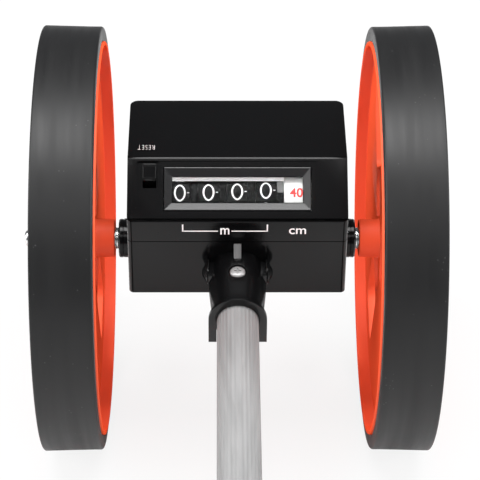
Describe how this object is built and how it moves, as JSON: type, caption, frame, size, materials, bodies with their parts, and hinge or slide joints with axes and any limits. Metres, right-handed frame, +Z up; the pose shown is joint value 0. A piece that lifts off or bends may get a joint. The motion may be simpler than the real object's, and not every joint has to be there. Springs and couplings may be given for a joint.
{
  "type": "measuring wheel",
  "caption": "Two-wheel distance measuring wheel with a drum counter in a black housing, sprung reset slider, folding neck and telescopic pole with grip.",
  "frame": {"origin": "middle of the footprint on the floor, under the middle of the bounding box, with the tool standing on both wheels and on the end of its grip", "axes": "+X to the user's right along the axle, +Y forwards in the direction of travel, +Z up"},
  "size_m": [0.159, 0.5754, 0.1592],
  "materials": {
    "tyre_rubber": "dark grey moulded rubber, slightly rough",
    "wheel_red": "orange-red moulded plastic, satin",
    "steel": "bright plated steel",
    "housing_black": "black moulded plastic, semi-gloss",
    "bezel_black": "black plastic",
    "clear_lens": "clear polished",
    "drum_black": "black plastic with white figures",
    "drum_white": "white plastic with red figures",
    "gear_white": "natural white plastic",
    "plate_grey": "grey plastic",
    "aluminium": "fluted, anodised",
    "collar_black": "black plastic",
    "grip_rubber": "soft black rubber"
  },
  "bodies": {
    "case": {"lower_shell": "housing_black", "upper_cover": "housing_black", "front_left_case_screw": "steel", "front_right_case_screw": "steel", "rear_left_case_screw": "steel", "rear_right_case_screw": "steel", "left_axle_bush": "housing_black", "right_axle_bush": "housing_black", "window_bezel": "bezel_black", "window_lens": "clear_lens", "left_counter_plate": "plate_grey", "right_counter_plate": "plate_grey", "drum_shaft": "steel", "pinion_shaft": "steel", "idler_pin": "steel", "fold_pin": "steel", "reset_spring": "steel"},
    "wheel_set": {"axle": "steel", "left_tyre": "tyre_rubber", "right_tyre": "tyre_rubber", "left_rim": "wheel_red", "right_rim": "wheel_red", "left_axle_nut": "steel", "right_axle_nut": "steel", "left_thrust_washer": "steel", "right_thrust_washer": "steel", "axle_gear": "gear_white"},
    "idler": {"idler_gear": "gear_white"},
    "centimetre_counter": {"centimetre_drum": "drum_white", "drum_gear": "gear_white"},
    "units_counter": {"units_drum": "drum_black"},
    "tens_counter": {"tens_drum": "drum_black"},
    "hundreds_counter": {"hundreds_drum": "drum_black"},
    "thousands_counter": {"thousands_drum": "drum_black"},
    "units_carry": {"units_pinion": "gear_white"},
    "tens_carry": {"tens_pinion": "gear_white"},
    "hundreds_carry": {"hundreds_pinion": "gear_white"},
    "thousands_carry": {"thousands_pinion": "gear_white"},
    "reset_slider": {"reset_button": "housing_black"},
    "reset_lever": {"reset_rocker": "plate_grey"},
    "neck_assembly": {"neck": "housing_black", "latch_spring": "steel", "neck_screw": "steel", "lower_tube": "aluminium"},
    "middle_section": {"middle_tube": "aluminium", "lower_collar": "collar_black", "lower_collet": "gear_white"},
    "upper_section": {"upper_tube": "aluminium", "upper_collar": "collar_black", "upper_collet": "gear_white", "grip": "grip_rubber", "grip_end_cap": "collar_black"}
  },
  "joints": [
    {"name": "wheel_spin", "type": "hinge", "parent": "case", "child": "wheel_set", "pos_m": [0, 0.20811, 0.07958], "axis": [1, 0, 0], "continuous": true},
    {"name": "idler_spin", "type": "hinge", "parent": "case", "child": "idler", "pos_m": [0, 0.2089, 0.08862], "axis": [1, 0, 0], "continuous": true},
    {"name": "centimetre_spin", "type": "hinge", "parent": "case", "child": "centimetre_counter", "pos_m": [0, 0.20172, 0.10015], "axis": [1, 0, 0], "continuous": true},
    {"name": "units_spin", "type": "hinge", "parent": "case", "child": "units_counter", "pos_m": [0, 0.20172, 0.10015], "axis": [1, 0, 0], "continuous": true},
    {"name": "tens_spin", "type": "hinge", "parent": "case", "child": "tens_counter", "pos_m": [0, 0.20172, 0.10015], "axis": [1, 0, 0], "continuous": true},
    {"name": "hundreds_spin", "type": "hinge", "parent": "case", "child": "hundreds_counter", "pos_m": [0, 0.20172, 0.10015], "axis": [1, 0, 0], "continuous": true},
    {"name": "thousands_spin", "type": "hinge", "parent": "case", "child": "thousands_counter", "pos_m": [0, 0.20172, 0.10015], "axis": [1, 0, 0], "continuous": true},
    {"name": "units_carry_spin", "type": "hinge", "parent": "case", "child": "units_carry", "pos_m": [0, 0.21384, 0.09751], "axis": [1, 0, 0], "continuous": true},
    {"name": "tens_carry_spin", "type": "hinge", "parent": "case", "child": "tens_carry", "pos_m": [0, 0.21384, 0.09751], "axis": [1, 0, 0], "continuous": true},
    {"name": "hundreds_carry_spin", "type": "hinge", "parent": "case", "child": "hundreds_carry", "pos_m": [0, 0.21384, 0.09751], "axis": [1, 0, 0], "continuous": true},
    {"name": "thousands_carry_spin", "type": "hinge", "parent": "case", "child": "thousands_carry", "pos_m": [0, 0.21384, 0.09751], "axis": [1, 0, 0], "continuous": true},
    {"name": "reset_rock", "type": "hinge", "parent": "case", "child": "reset_lever", "pos_m": [0, 0.21704, 0.10752], "axis": [1, 0, 0], "range_deg": [0, 20.33]},
    {"name": "reset_slide", "type": "slide", "parent": "case", "child": "reset_slider", "axis": [0, -0.7518, -0.6594], "range_m": [0, 0.0035], "stiffness_N_per_m": 60, "springref_m": -0.01, "deforming": ["reset_spring"]},
    {"name": "neck_fold", "type": "hinge", "parent": "case", "child": "neck_assembly", "pos_m": [0, 0.18161, 0.08155], "axis": [1, 0, 0], "range_deg": [0, 90]},
    {"name": "middle_slide", "type": "slide", "parent": "neck_assembly", "child": "middle_section", "axis": [0, -0.991, -0.1339], "range_m": [-0.085, 0.155]},
    {"name": "upper_slide", "type": "slide", "parent": "middle_section", "child": "upper_section", "axis": [0, -0.991, -0.1339], "range_m": [-0.009, 0.205]}
  ],
  "couplings": [
    {"joint": "idler_spin", "follows": "wheel_spin", "ratio": -1},
    {"joint": "centimetre_spin", "follows": "wheel_spin", "ratio": 0.5},
    {"joint": "units_spin", "follows": "wheel_spin", "ratio": 0.05},
    {"joint": "tens_spin", "follows": "wheel_spin", "ratio": 0.005},
    {"joint": "hundreds_spin", "follows": "wheel_spin", "ratio": 0.0005},
    {"joint": "thousands_spin", "follows": "wheel_spin", "ratio": 0.00005},
    {"joint": "units_carry_spin", "follows": "wheel_spin", "ratio": -0.125},
    {"joint": "tens_carry_spin", "follows": "wheel_spin", "ratio": -0.0125},
    {"joint": "hundreds_carry_spin", "follows": "wheel_spin", "ratio": -0.00125},
    {"joint": "thousands_carry_spin", "follows": "wheel_spin", "ratio": -0.000125},
    {"joint": "reset_rock", "follows": "reset_slide", "rad_per_m": 101.39}
  ]
}
